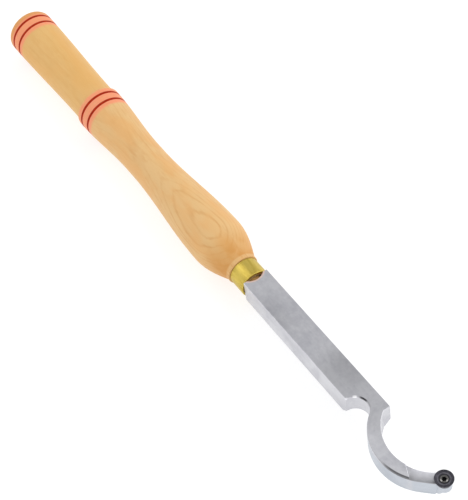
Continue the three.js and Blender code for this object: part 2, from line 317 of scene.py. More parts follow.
class Finish:
    """The nodes of one material, which end in its Principled surface."""

    def __init__(self, name):
        self.material = bpy.data.materials.new(name)
        self.material.use_nodes = True
        self.nodes = self.material.node_tree.nodes
        self.links = self.material.node_tree.links
        self.surface = self.nodes["Principled BSDF"]
        place = self.node("ShaderNodeTexCoord", {}, {}, "Object")
        inputs = {"Vector": place, "Location": -ORIGIN}
        self.place = self.node("ShaderNodeMapping", {"vector_type": "POINT"}, inputs)

    def node(self, kind, settings, inputs, output=0):
        """A node of any kind: its settings come first, then what its sockets hold."""
        made = self.nodes.new(kind)
        for name, value in settings.items():
            setattr(made, name, value)
        for name, value in inputs.items():
            self.feed(made.inputs[name], value)
        return Wire(self, made.outputs[output])

    def feed(self, socket, value):
        if isinstance(value, Wire):
            self.links.new(value.socket, socket)
        else:
            socket.default_value = value

    def set(self, **values):
        """Feeds the surface's sockets, with _ for a space."""
        for name, value in values.items():
            self.feed(self.surface.inputs[name.replace("_", " ")], value)

    def axes(self, vector):
        """The three parts of a vector."""
        split = self.node("ShaderNodeSeparateXYZ", {}, {0: vector}).socket.node
        return [Wire(self, split.outputs[i]) for i in range(3)]

    def vector(self, x, y, z):
        return self.node("ShaderNodeCombineXYZ", {}, {0: x, 1: y, 2: z})

    def scaled(self, vector, scale):
        return self.node("ShaderNodeVectorMath", {"operation": "MULTIPLY"}, {0: vector, 1: scale})

    def noise(self, vector, scale, detail, roughness=0.5, distortion=0.0):
        inputs = {
            "Vector": vector,
            "Scale": scale,
            "Detail": detail,
            "Roughness": roughness,
            "Distortion": distortion,
        }
        return self.node("ShaderNodeTexNoise", {}, inputs)

    def drawn(self, along, across, detail, roughness=0.5, distortion=0.0):
        """Noise with one scale along the tool and another across it."""
        place = self.scaled(self.place, (along, across, across))
        return self.noise(place, 1.0, detail, roughness, distortion)

    def smooth(self, value, low, high):
        """Runs from 0 at low to 1 at high."""
        inputs = {"Value": value, "From Min": low, "From Max": high}
        return self.node("ShaderNodeMapRange", {"interpolation_type": "SMOOTHSTEP"}, inputs)

    def mix(self, share, first, second, blend="MIX"):
        """A colour between two, or one laid on the other."""
        settings = {"data_type": "RGBA", "blend_type": blend, "clamp_result": False}
        inputs = dict(zip(MIX_INPUTS, (share, first, second)))
        return self.node("ShaderNodeMix", settings, inputs, MIX_OUTPUT)

    def shade(self, colour_wire, level):
        """A colour made lighter or darker by a level round 1."""
        return self.mix(1.0, colour_wire, self.vector(level, level, level), "MULTIPLY")

    def bump(self, height, distance, amount):
        inputs = {"Height": height, "Distance": distance, "Strength": amount}
        return self.node("ShaderNodeBump", {}, inputs)


def between(finish, value, low, high, soft):
    """Runs from 0 to 1 and back, with soft sides."""
    rise = finish.smooth(value, low - soft, low + soft)
    return rise * (1 - finish.smooth(value, high - soft, high + soft))


def distance_from(centre, along, across):
    """How far a place lies from an upright axis."""
    return ((along - centre[0]) ** 2 + (across - centre[1]) ** 2).root()


def groove_places(sizes):
    """Each groove's name and its place along the tool."""
    butt = BUTT_X + sizes.butt_groove
    step = BUTT_X + sizes.step_distance + sizes.step_groove
    return [
        ("butt_rear", butt),
        ("butt_front", butt + sizes.groove_pitch),
        ("step_rear", step),
        ("step_front", step + sizes.groove_pitch),
    ]


def late_wood(wood, sizes, along, across, up):
    """Thin dark lines where the growth rings come to the surface."""
    sway = wood.drawn(12, 55, 2.0)
    tremble = wood.drawn(60, 240, 3.0, 0.6)
    lean = along * 0.012
    from_heart = ((across - HEART[0]) ** 2 + (up - HEART[1] + lean) ** 2).root()
    ring = (from_heart + sway * (5.2 * MM) + tremble * (0.5 * MM)) / sizes.grain_spacing
    return ((ring * TURN).sine() * 0.5 + 0.5) ** 6


def warmed(wood, sizes, body, along, blotch):
    """Redder places in the wood, yellower wood at the grip and riper wood towards the ferrule."""
    warm = wood.smooth(wood.drawn(39, 91, 2.0), 0.4, 0.68)
    body = wood.mix(warm * 0.6, body, tuple(sizes.warm_wood))
    step = BUTT_X + sizes.step_distance
    grip = 1 - wood.smooth(along, step - 12 * MM, step + 16 * MM)
    body = wood.mix(grip * 0.5, body, tuple(sizes.grip_wood))
    collar_start = SHOULDER_X - sizes.collar_length
    collar = wood.smooth(along, collar_start - 0.4 * MM, collar_start + 0.4 * MM)
    patchy = wood.smooth(blotch, 0.35, 0.62) * 0.45 + 0.65
    ripe = wood.smooth(along, -36 * MM, -15 * MM) * (1 - collar * 0.75) * patchy
    return wood.mix(ripe, body, tuple(sizes.ripe_wood))


def banded(wood, sizes, body, along):
    """Lacquer has seeped into the wood beside the grooves and lies along their edges."""
    seep = wood.drawn(700, 260, 3.0, 0.6)
    tint = wood.smooth(along, BUTT_X + 0.3 * MM, BUTT_X + 2.6 * MM) * 0.7
    tint = tint * (1 - wood.smooth(along, BUTT_X, BUTT_X + 9 * MM))
    half = sizes.groove_width / 2
    line = 0.0
    for _, place in groove_places(sizes):
        off = (along - place).size()
        far = off + (seep - 0.5) * (2.4 * MM)
        tint = tint.most(1 - wood.smooth(far, 2.4 * MM, 5.2 * MM))
        line = (1 - wood.smooth(off, half + 0.12 * MM, half + 0.42 * MM)) + line
    body = wood.mix(tint * 0.86, body, tuple(sizes.stained_wood))
    cap = 1 - wood.smooth(along, BUTT_X + 4.2 * MM, BUTT_X + 6.6 * MM)
    body = wood.mix(cap * 0.65, body, tuple(sizes.ripe_wood))
    return wood.mix(line * 0.82, body, tuple(sizes.lacquer))


def wood_finish(sizes):
    """Pale close-grained wood under satin varnish, with growth rings, bands by the grooves and painted
    shade where it meets the ferrule.
    """
    wood = Finish("varnished_wood")
    along, across, up = wood.axes(wood.place)
    late = late_wood(wood, sizes, along, across, up)
    broad = wood.drawn(9, 40, 3.0, 0.6, 0.6)
    fibre = wood.drawn(150, 2600, 4.0, 0.65)
    fleck = wood.smooth(wood.drawn(260, 1500, 2.0), 0.62, 0.72)
    blotch = wood.drawn(38, 95, 3.0, 0.6, 0.8)
    dapple = wood.drawn(130, 420, 2.0, 0.5, 0.5)
    streak = wood.drawn(80, 1100, 2.0)
    bulb = wood.smooth(along, -90 * MM, -50 * MM)
    tone = wood.smooth(broad, 0.32, 0.72) * 0.28 + (fibre - 0.5) * 0.35 + fleck * 0.10
    tone = tone + late * (bulb * 0.32 + 0.28) - bulb * 0.15
    tone = tone + (blotch - 0.5) * 0.9 + (dapple - 0.5) * 0.9 + (streak - 0.5) * 0.8
    body = wood.mix(tone.most(0.0), tuple(sizes.light_wood), tuple(sizes.dark_wood))
    body = warmed(wood, sizes, body, along, blotch)
    body = banded(wood, sizes, body, along)
    # Painted shade on the wood where it meets the ferrule
    painted_joint_shade = wood.smooth(along, SHOULDER_X - 0.45 * MM, SHOULDER_X - 0.1 * MM)
    wood.set(Base_Color=wood.shade(body, ((fibre - 0.5) * 0.10 + 1) * (1 - painted_joint_shade * 0.08)))
    wood.set(Roughness=0.42 + fibre * 0.16 + wood.smooth(broad, 0.4, 0.7) * 0.06)
    wood.set(Normal=wood.bump(fibre * 0.7 + late * 0.3 - fleck * 0.6, 0.05 * MM, 0.5))
    wood.set(Coat_Weight=0.06, Coat_Roughness=0.35, Specular_IOR_Level=0.2)
    return wood.material


def lacquer_finish(sizes):
    """Dark red lacquer with thick and thin places."""
    lacquer = Finish("red_groove_lacquer")
    thick = lacquer.noise(lacquer.place, 420.0, 3.0, 0.6)
    fine = lacquer.noise(lacquer.place, 2600.0, 2.0, 0.5)
    dark = tuple(sizes.lacquer)
    thin = (dark[0] * 1.5, dark[1] * 1.8, dark[2] * 1.5, 1)
    lacquer.set(Base_Color=lacquer.mix(lacquer.smooth(thick, 0.35, 0.75), dark, thin))
    lacquer.set(Roughness=0.45 + thick * 0.22)
    lacquer.set(Normal=lacquer.bump(thick * 0.7 + fine * 0.3, 0.06 * MM, 0.5))
    lacquer.set(Specular_IOR_Level=0.1)
    return lacquer.material


def brass_finish(sizes):
    """Brass tube polished in the lathe, dulled in patches by handling."""
    brass = Finish("polished_brass")
    turning = brass.drawn(5200, 60, 3.0, 0.6)
    patch = brass.drawn(90, 420, 4.0, 0.6, 0.3)
    scratch = brass.noise(brass.scaled(brass.place, (300, 2400, 500)), 1.0, 2.0)
    scratch = brass.smooth(scratch, 0.66, 0.72)
    dull = brass.smooth(patch, 0.38, 0.68) * 0.6 + turning * 0.2
    brass.set(Base_Color=brass.mix(dull, tuple(sizes.brass), tuple(sizes.dull_brass)))
    brass.set(Metallic=1.0, Roughness=0.27 + patch * 0.16 + turning * 0.08 + scratch * 0.1)
    brass.set(Normal=brass.bump(turning * 0.6 - scratch * 0.5, 0.02 * MM, 0.45))
    return brass.material


def glue_finish(sizes):
    """Cured glue with small bubbles."""
    glue = Finish("cured_glue")
    cloud = glue.noise(glue.place, 150.0, 3.0, 0.5)
    bubble = glue.node("ShaderNodeTexVoronoi", {}, {"Vector": glue.place, "Scale": 900.0})
    tone = tuple(sizes.glue)
    deep = tuple(0.7 * part for part in tone[:3]) + (1,)
    glue.set(Base_Color=glue.mix(glue.smooth(cloud, 0.3, 0.7), tone, deep))
    glue.set(Roughness=0.35 + cloud * 0.3)
    glue.set(Normal=glue.bump(bubble, 0.1 * MM, 0.6))
    return glue.material


def painted_top_shade(steel, along, across, up):
    """Painted shade: how much darker the bar's top is painted in places, where it reflects less light.
    """
    on_top = steel.smooth(up, 7.6 * MM, 7.9 * MM)
    far_side = steel.smooth(across, -6 * MM, 5 * MM)
    near_side = 1 - steel.smooth(across, -7 * MM, 4 * MM)
    ahead = between(steel, along, 70 * MM, 94 * MM, 9 * MM) * (far_side * 0.08 + 0.16)
    ahead = ahead + between(steel, along, 94 * MM, 120 * MM, 8 * MM) * 0.08
    behind = between(steel, along, 18 * MM, 42 * MM, 8 * MM) * near_side * 0.14
    return (ahead + behind + 0.02) * on_top


def painted_hook_light_and_shade(steel, along, across, up, radius, turn):
    """The hook's painted light and shade against the bar's tone: a lighter top, a painted dark
    reflection along its outer edge, and painted shade on the seat, darker out than in and darkest by the
    step.
    """
    on_top = steel.smooth(up, 6.4 * MM, 6.7 * MM)
    on_hook = steel.smooth(across, -4 * MM, -12 * MM) * steel.smooth(along, 118 * MM, 124 * MM)
    on_seat = (1 - steel.smooth(up, 7.15 * MM, 7.4 * MM)) * on_top * steel.smooth(turn, -1.02, -0.98)
    out = steel.smooth(turn, -1.6, -1.3)
    edge = between(steel, radius, HOOK_REACH - 0.9 * MM, HOOK_REACH + 1 * MM, 0.2 * MM) * out
    corner = steel.smooth(radius, HOOK_REACH - 0.35 * MM, HOOK_REACH - 0.2 * MM)
    corner = corner * on_hook * steel.smooth(up, 7 * MM, 7.3 * MM) * (1 - out)
    edge = edge * on_top * (1 - on_seat) * 0.8 + corner * 0.3
    slope = (HOOK_REACH - radius) / (5.4 * MM)
    seat = on_seat * (slope * 0.66 - 0.38 - 0.16 * (1 - steel.smooth(turn, -0.98, -0.86)))
    return on_hook * on_top * (1 - on_seat) * 0.09 - edge + seat


def painted_wall_reflection(steel, sizes, body, along, across, up, radius):
    """Painted reflection and shade: the hook's outer wall is painted a little bluer and darker than its
    top, for the cool light it reflects, and darker still low down as painted shade.
    """
    curve = steel.smooth(radius, HOOK_REACH - 0.3 * MM, HOOK_REACH - 0.1 * MM)
    curve = curve * steel.smooth(across, -8.3 * MM, -13 * MM)
    pad = steel.smooth(along, CUTTER_OFFSET.x - 12 * MM, CUTTER_OFFSET.x - 9 * MM)
    outside = curve.most(pad) * (1 - steel.smooth(up, 6.4 * MM, 6.7 * MM))
    low = 1 - steel.smooth(up, -4.6 * MM, -1.4 * MM)
    body = steel.mix(outside * 0.5, body, tuple(sizes.wall_reflection_steel))
    return steel.mix(outside * low * 0.45, body, tuple(sizes.low_wall_shade_steel))


def painted_notch_highlights_and_shade(steel, along, across, up):
    """Painted highlights and painted shade on the notch's upper edge, between the bar and the hook."""
    reach = distance_from(NOTCH_CENTRE, along, across)
    turn = (across - NOTCH_CENTRE[1]).bearing(along - NOTCH_CENTRE[0])
    edge = between(steel, reach, 7.7 * MM, 8.9 * MM, 0.25 * MM) * steel.smooth(up, 6.6 * MM, 7.2 * MM)
    # Painted shade as a dark arc, and painted highlights as two glints, along the edge
    dark = between(steel, turn, 1.62, 2.16, 0.12) * 0.55 + between(steel, turn, 1.1, 2.1, 0.2) * 0.28
    bright = between(steel, turn, 2.38, 2.58, 0.1) * 1.2 + between(steel, turn, 2.98, 3.2, 0.08) * 0.4
    return edge * (bright - dark)


def painted_hollow(steel, sizes, body, along, across, up):
    """The hollow behind the bar is painted brown and not metallic, and its upper edge holds a painted
    reflection of the brass.
    """
    from_hollow = distance_from(HOLLOW_CENTRE, along, across)
    inside = 1 - steel.smooth(from_hollow, 8.1 * MM, 8.3 * MM)
    inside = inside * (1 - steel.smooth(up, 7.55 * MM, 7.8 * MM))
    body = steel.mix(inside, body, tuple(sizes.hollow_brown))
    # A painted reflection of the brass along the hollow's upper edge
    painted_reflection = between(steel, from_hollow, 7.9 * MM, 9 * MM, 0.3 * MM) * steel.smooth(up, 7.6 * MM, 7.9 * MM)
    steel.set(Metallic=1 - inside)
    return steel.mix(painted_reflection * 0.85, body, tuple(sizes.brass_reflection))


def steel_finish(sizes):
    """Ground steel: fine lines that run along the bar and round the hook, with faint clouds, and painted
    light, shade and reflections in places on the bar and hook.
    """
    steel = Finish("ground_steel")
    along, across, up = steel.axes(steel.place)
    radius = distance_from(HOOK_CENTRE, along, across)
    turn = (across - HOOK_CENTRE[1]).bearing(along - HOOK_CENTRE[0])
    on_hook = steel.smooth(along, 104 * MM, 112 * MM)
    run = on_hook * (turn * HOOK_REACH) + (1 - on_hook) * along
    side = on_hook * radius + (1 - on_hook) * across
    lines = steel.noise(steel.vector(run * 70, side * 3600, up * 3600), 1.0, 4.0, 0.7)
    coarse = steel.noise(steel.vector(run * 30, side * 700, up * 700), 1.0, 3.0, 0.6)
    cloud = steel.noise(steel.place, 60.0, 4.0, 0.6, 0.5)
    speck = steel.smooth(steel.noise(steel.place, 1500.0, 2.0, 0.5), 0.70, 0.76)
    mottle = steel.noise(steel.place, 330.0, 3.0, 0.6)
    dull = steel.smooth(cloud, 0.3, 0.75) * 0.75 + (coarse - 0.5) * 0.6 + (lines - 0.5) * 0.35
    dull = dull + (mottle - 0.5) * (steel.smooth(up, 6.4 * MM, 7.4 * MM) * 0.8 + 0.5)
    body = steel.mix(dull.most(0.0), tuple(sizes.bright_steel), tuple(sizes.dull_steel))
    # Painted reflection and painted shade on the hook's outer wall
    body = painted_wall_reflection(steel, sizes, body, along, across, up, radius)
    body = painted_hollow(steel, sizes, body, along, across, up)
    # The tone holds painted shade on the bar's top and painted highlights and shade on the notch's edge.
    tone = 1 - speck * 0.15 - painted_top_shade(steel, along, across, up) + painted_notch_highlights_and_shade(steel, along, across, up)
    # Painted light and shade on the hook's top, outer edge and seat.
    tone = tone + painted_hook_light_and_shade(steel, along, across, up, radius, turn)
    steel.set(Base_Color=steel.shade(body, tone))
    steel.set(Roughness=0.3 + cloud * 0.12 + (lines - 0.5) * 0.14 + speck * 0.1)
    steel.set(Normal=steel.bump(lines * 0.6 + coarse * 0.4, 0.03 * MM, 0.4))
    return steel.material


def carbide_finish(sizes):
    """Sintered carbide, grainy below, with a painted highlight ring on its dished top and a rim made
    lighter, partly as ground carbide and partly as painted highlight.
    """
    carbide = Finish("sintered_carbide")
    along, across, _ = carbide.axes(carbide.place)
    radius = distance_from(CUTTER_OFFSET, along, across)
    grain = carbide.noise(carbide.place, 5200.0, 3.0, 0.6)
    cloud = carbide.noise(carbide.place, 700.0, 3.0, 0.5)
    wheel = carbide.noise(carbide.vector(radius * 9000, 0.0, 0.0), 1.0, 2.0, 0.5)
    # A painted highlight ring on the dished top, and a lighter rim, partly ground and partly painted
    # highlight
    ring = between(carbide, radius, 3.15 * MM, 3.75 * MM, 0.3 * MM)
    rim = carbide.smooth(radius, CUTTER_RADIUS - 0.35 * MM, CUTTER_RADIUS - 0.05 * MM) * 0.4
    bright = ring * 0.5 + rim + (wheel - 0.5) * 0.5 + (cloud - 0.5)
    body = carbide.mix(bright.most(0.0), tuple(sizes.carbide), tuple(sizes.ground_and_highlight_carbide))
    carbide.set(Base_Color=carbide.shade(body, 0.85 + grain * 0.3))
    carbide.set(Metallic=0.75, Roughness=0.34 + cloud * 0.16 + grain * 0.1)
    carbide.set(Normal=carbide.bump(grain * 0.5 + wheel * 0.5, 0.015 * MM, 0.4))
    return carbide.material


def screw_finish(sizes):
    """Turned screw steel with painted shade inside its recess and two painted glints on its head."""
    steel = Finish("screw_steel")
    along, across, up = steel.axes(steel.place)
    radius = distance_from(CUTTER_OFFSET, along, across)
    top = SCREW_BOX[1].z - AXIS_Z
    floor = top - sizes.recess_depth
    recess = sizes.recess_radius
    inside = 1 - steel.smooth(radius, recess - 0.05 * MM, recess + 0.02 * MM)
    below = 1 - steel.smooth(up, top - 0.28 * MM, top - 0.06 * MM)
    head = steel.smooth(up, floor - 0.35 * MM, floor - 0.2 * MM)
    turning = steel.noise(steel.vector(radius * 8000, up * 8000, 0.0), 1.0, 2.0, 0.5)
    cloud = steel.noise(steel.place, 1200.0, 3.0, 0.5)
    turn = (across - CUTTER_OFFSET.y).bearing(along - CUTTER_OFFSET.x)
    # Two painted glints on the head beside the recess, which turn with the screw
    painted_glint = between(steel, turn, -2.05, -1.35, 0.2) + between(steel, turn, 0.0, 0.65, 0.2) * 0.8
    painted_glint = painted_glint * between(steel, radius, recess + 0.05 * MM, 2.1 * MM, 0.15 * MM)
    body = steel.shade(tuple(sizes.screw), 0.85 + turning * 0.3 + painted_glint * 3.2)
    # The recess is painted near black as painted shade
    steel.set(Base_Color=steel.mix(inside * below * head, body, tuple(sizes.recess)))
    steel.set(Metallic=1.0, Roughness=0.26 + cloud * 0.16 + turning * 0.08)
    steel.set(Normal=steel.bump(turning, 0.015 * MM, 0.4))
    return steel.material


def piece_from(bm, name, finish, body, replaced, sharp_degrees=32):
    """A finished piece on its body, in place of a CAD node."""
    mesh = bpy.data.meshes.new(name)
    for face in bm.faces:
        face.smooth = True
    bm.to_mesh(mesh)
    bm.free()
    mesh.materials.append(finish)
    mesh.set_sharp_from_angle(angle=math.radians(sharp_degrees))
    piece = bpy.data.objects.new(name, mesh)
    bpy.context.scene.collection.objects.link(piece)
    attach(piece, body)
    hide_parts(replaced)


def quarter_round(centre, size, start, end, steps=6):
    """Points along a quarter circle, as distance along and radius."""
    points = []
    for i in range(steps + 1):
        angle = start + (end - start) * i / steps
        points.append((centre[0] + size * math.cos(angle), centre[1] + size * math.sin(angle)))
    return points


def eased(start, end, steps=26, span=math.pi):
    """Radii that go from one to the next as a cosine does over its span, without the last point."""
    points = []
    for i in range(steps):
        share = i / steps
        blend = (1 - math.cos(span * share)) / (1 - math.cos(span))
        along = start[0] + (end[0] - start[0]) * share
        points.append((along, start[1] + (end[1] - start[1]) * blend))
    return points


def radius_at(outline, place):
    """The outline's radius at a place along the tool."""
    for before, after in zip(outline, outline[1:]):
        if before[0] <= place < after[0]:
            share = (place - before[0]) / (after[0] - before[0])
            return before[1] + (after[1] - before[1]) * share
    raise ValueError(f"no outline at {place:.4f} m along the tool")


def turned(places, centre, axis, facets):
    """A closed solid, turned from a line of places about an axis."""
    bm = bmesh.new()
    verts = [bm.verts.new(place) for place in places]
    edges = [bm.edges.new(pair) for pair in zip(verts, verts[1:])]
    bmesh.ops.spin(
        bm, geom=verts + edges, cent=centre, axis=axis, angle=TURN, steps=facets, use_merge=True
    )
    bmesh.ops.remove_doubles(bm, verts=bm.verts, dist=1e-7)
    bmesh.ops.recalc_face_normals(bm, faces=bm.faces)
    return bm


def spun(points):
    """A solid turned about the tool's own axis. Points hold the distance along and the radius."""
    places = [ORIGIN + Vector((along, 0, radius)) for along, radius in points]
    return turned(places, ORIGIN, (1, 0, 0), HANDLE_FACETS)


def handle_outline(sizes):
    """The handle's outside before its grooves are cut, from the butt's axis to the collar."""
    butt = BUTT_X + sizes.butt_rounding
    step = BUTT_X + sizes.step_distance
    waist = BUTT_X + sizes.waist_distance
    bulb = BUTT_X + sizes.bulb_distance
    collar = SHOULDER_X - sizes.collar_length
    collar_radius = FERRULE_RADIUS + sizes.collar_step
    crown = 0.35 * MM
    flat = sizes.butt_radius - sizes.butt_rounding
    rounding = quarter_round((butt, flat), sizes.butt_rounding, math.pi, QUARTER, 8)
    outline = [(BUTT_X, 0), (BUTT_X, flat * 0.35), (BUTT_X + crown * 0.2, flat * 0.8)]
    for along, radius in rounding:
        outline.append((along + crown * max(0, (butt - along) / sizes.butt_rounding), radius))
    outline += eased((butt, sizes.butt_radius), (step - sizes.step_rounding, sizes.grip_radius), 34)[1:]
    outline.append((step - sizes.step_rounding, sizes.grip_radius))
    outline += quarter_round(
        (step, sizes.step_radius - sizes.step_rounding), sizes.step_rounding, math.pi, QUARTER
    )
    waist_start = (waist - sizes.waist_length, sizes.waist_radius)
    outline += eased((step + sizes.step_rounding, sizes.step_radius), waist_start)
    outline += eased((waist, sizes.waist_radius), (bulb, sizes.bulb_radius), 32)
    outline += eased((bulb, sizes.bulb_radius), (collar, collar_radius), 22, QUARTER)
    outline.append((collar, collar_radius))
    soft = sizes.collar_rounding
    outline += quarter_round((SHOULDER_X - soft, collar_radius - soft), soft, QUARTER, 0)
    return outline


def grooved(outline, sizes):
    """The outline with its four soft-edged grooves."""
    half = sizes.groove_width / 2
    lip = sizes.groove_lip
    result = list(outline)
    for _, place in groove_places(sizes):
        rear = place - half - lip
        front = place + half + lip
        level = radius_at(outline, place)
        rear_level = radius_at(outline, rear)
        front_level = radius_at(outline, front)
        floor = level - sizes.groove_depth
        cut = quarter_round((rear, rear_level - lip), lip, QUARTER, 0, 4)
        cut += quarter_round((place - half + lip, floor + lip), lip, math.pi, math.pi + QUARTER, 3)
        cut += quarter_round((place + half - lip, floor + lip), lip, -QUARTER, 0, 3)
        cut += quarter_round((front, front_level - lip), lip, math.pi, QUARTER, 4)
        before = [point for point in result if point[0] < rear]
        after = [point for point in result if point[0] > front]
        result = before + cut + after
    return result


def make_handle(settings):
    """The turned handle with its bore and the tenon inside the ferrule."""
    sizes = settings.handle
    tenon_end = HANDLE_BOX[1].x - FRONT_X
    chamfer = 0.3 * MM
    drill_point = 3 * MM
    points = grooved(handle_outline(sizes), sizes)
    points += [
        (SHOULDER_X, sizes.tenon_radius),
        (tenon_end - chamfer, sizes.tenon_radius),
        (tenon_end, sizes.tenon_radius - chamfer),
        (tenon_end, sizes.bore_radius),
        (-sizes.bore_depth, sizes.bore_radius),
        (-sizes.bore_depth - drill_point, 0),
    ]
    piece_from(spun(points), "turned_handle", wood_finish(sizes), "tool", "handle")


def make_rings(settings):
    """Lacquer in the four grooves, drawn up a little at the grooves' walls."""
    sizes = settings.handle
    outline = handle_outline(sizes)
    finish = lacquer_finish(sizes)
    half = sizes.groove_width / 2
    draw = 0.12 * MM
    steps = 8
    for name, place in groove_places(sizes):
        level = radius_at(outline, place) - sizes.lacquer_drop
        top = []
        for i in range(steps + 1):
            share = 2 * i / steps - 1
            top.append((place + half * share, level - draw * (1 - share ** 2)))
        bottom = level - sizes.lacquer_height
        points = [(place - half, bottom), *top, (place + half, bottom), (place - half, bottom)]
        piece_from(spun(points), f"lacquer_{name}", finish, "tool", f"red_ring_{name}")


def turned_line(place, level, sizes):
    """A fine turned line in the ferrule's outside."""
    half = sizes.line_width / 2
    return [
        (place - half, level),
        (place - half * 0.4, level - sizes.line_depth),
        (place + half * 0.4, level - sizes.line_depth),
        (place + half, level),
    ]


def make_ferrule(settings):
    """The brass tube, with its edges rounded and a fine line near each end."""
    sizes = settings.ferrule
    inside = FERRULE_RADIUS - sizes.wall
    soft = sizes.rounding
    level = FERRULE_RADIUS - soft
    nick = 0.15 * MM
    points = [(SHOULDER_X + nick, inside), (SHOULDER_X, inside + nick)]
    points += quarter_round((SHOULDER_X + soft, level), soft, math.pi, QUARTER)
    points += turned_line(SHOULDER_X + sizes.line_inset, FERRULE_RADIUS, sizes)
    points += turned_line(-sizes.line_inset, FERRULE_RADIUS, sizes)
    points += quarter_round((-soft, level), soft, QUARTER, 0)
    points += [(0, inside + nick), (-nick, inside), (SHOULDER_X + nick, inside)]
    piece_from(spun(points), "brass_ferrule", brass_finish(sizes), "tool", "ferrule")


def dress_glue(settings):
    """The bed of glue keeps its CAD shape, since it lies inside the handle."""
    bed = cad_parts["tang_glue"]
    finish = glue_finish(settings.ferrule)
    for held in bed.material_slots:
        held.material = finish


def broken_edges(bm):
    """The edges that are broken: all of the straight bar's, and those of the hook's top and walls."""
    limit = math.radians(30)
    chosen = []
    for edge in bm.edges:
        if not edge.is_manifold or edge.calc_face_angle() < limit:
            continue
        underneath = any(face.normal.z < -0.2 for face in edge.link_faces)
        on_hook = all(vert.co.x > FRONT_X + HOOK_START for vert in edge.verts)
        if not (underneath and on_hook):
            chosen.append(edge)
    return chosen


def make_bar(settings):
    """The ground bar and hook: the CAD shape with its sharp edges broken, and no slivers left."""
    sizes = settings.bar
    same_place = 0.001 * MM
    shortest_edge = 0.1 * MM
    sliver = 0.04 * MM
    flat = math.radians(0.4)
    bm = bmesh.new()
    bm.from_mesh(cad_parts["tool_bar"].data)
    bmesh.ops.remove_doubles(bm, verts=bm.verts, dist=same_place)
    bmesh.ops.dissolve_limit(
        bm, angle_limit=flat, use_dissolve_boundaries=False, verts=bm.verts, edges=bm.edges
    )
    bmesh.ops.remove_doubles(bm, verts=bm.verts, dist=shortest_edge)
    bmesh.ops.bevel(
        bm,
        geom=broken_edges(bm),
        offset=sizes.edge,
        offset_type="OFFSET",
        affect="EDGES",
        segments=2,
        profile=0.5,
        material=-1,
        clamp_overlap=False,
        loop_slide=True,
    )
    bmesh.ops.dissolve_degenerate(bm, dist=sliver, edges=bm.edges)
    needless = [vert for vert in bm.verts if len(vert.link_edges) == 2]
    bmesh.ops.dissolve_verts(bm, verts=needless)
    finish = steel_finish(sizes)
    piece_from(bm, "ground_bar", finish, "tool", "tool_bar", sharp_degrees=11)


def make_cutter(settings):
    """The round cutter with its land, ramp, dished top and countersink."""
    sizes = settings.cutter
    foot = CUTTER_BOX[0].z
    top = CUTTER_BOX[1].z
    floor = top - sizes.dish
    edge = 0.05 * MM
    land = CUTTER_RADIUS - sizes.land
    ramp = land - sizes.ramp
    points = [
        (foot, sizes.hole_radius + 0.1 * MM),
        (foot, sizes.foot_radius - 0.2 * MM),
        (foot + 0.12 * MM, sizes.foot_radius),
        (top - edge, CUTTER_RADIUS),
        (top, CUTTER_RADIUS - edge),
        (top, land + 0.06 * MM),
        (top - 0.03 * MM, land - 0.02 * MM),
        (floor + 0.05 * MM, ramp + 0.06 * MM),
        (floor, ramp - 0.06 * MM),
        (floor, sizes.sink_radius + 0.08 * MM),
        (floor - 0.06 * MM, sizes.sink_radius),
        (floor - sizes.sink_depth, sizes.hole_radius + 0.03 * MM),
        (floor - sizes.sink_depth - 0.05 * MM, sizes.hole_radius),
        (foot + 0.1 * MM, sizes.hole_radius),
        (foot, sizes.hole_radius + 0.1 * MM),
    ]
    places = [(CUTTER_CENTRE.x + radius, CUTTER_CENTRE.y, height) for height, radius in points]
    bm = turned(places, (CUTTER_CENTRE.x, CUTTER_CENTRE.y, 0), (0, 0, 1), CUTTER_FACETS)
    finish = carbide_finish(sizes)
    piece_from(bm, "round_cutter", finish, "cutter", "cutter", sharp_degrees=24)


def loop_at(bm, height, radius, lobes, drawn_in):
    """A ring of edges round the screw's axis, drawn in by a share of its radius between its lobes."""
    made = bmesh.ops.create_circle(bm, cap_ends=False, radius=radius, segments=SCREW_FACETS)["verts"]
    for vert in made:
        x, y, _ = vert.co
        level = 1 - drawn_in * (1 - math.cos(lobes * math.atan2(y, x))) / 2
        vert.co = Vector((CUTTER_CENTRE.x + x * level, CUTTER_CENTRE.y + y * level, height))
    return list(dict.fromkeys(edge for vert in made for edge in vert.link_edges))


